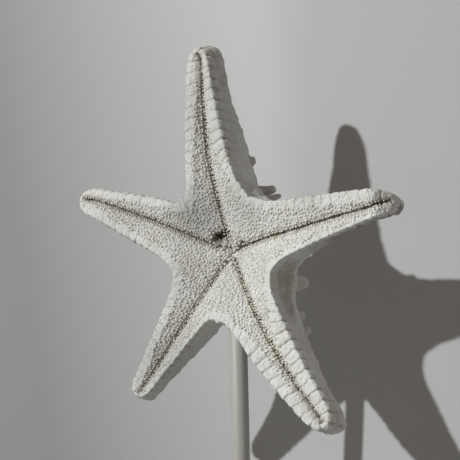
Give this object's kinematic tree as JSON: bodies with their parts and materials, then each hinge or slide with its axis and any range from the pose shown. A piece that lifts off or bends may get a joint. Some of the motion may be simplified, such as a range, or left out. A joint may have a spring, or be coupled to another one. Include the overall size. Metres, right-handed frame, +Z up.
{
  "type": "dried starfish on a stand",
  "caption": "Bleached knobby starfish held upright on a slim rod in a square block, with furrowed arms, plated edges and blunt knobs on its back.",
  "frame": {"origin": "centre of the base's underside, on the rod's axis", "axes": "+Z up along the rod, the starfish's furrowed underside looks along -Y, +X to the right of a viewer who faces it"},
  "size_m": [0.1647, 0.09, 0.2596],
  "materials": {
    "starfish_skin": "chalky bleached skin of small granules and plates, dead matte, tan dirt in the furrows and seams",
    "stand_paint": "wood under off-white satin paint with faint brush marks and a few small stains"
  },
  "bodies": {
    "root": {"starfish": "starfish_skin", "rod": "stand_paint", "base": "stand_paint"}
  },
  "joints": []
}
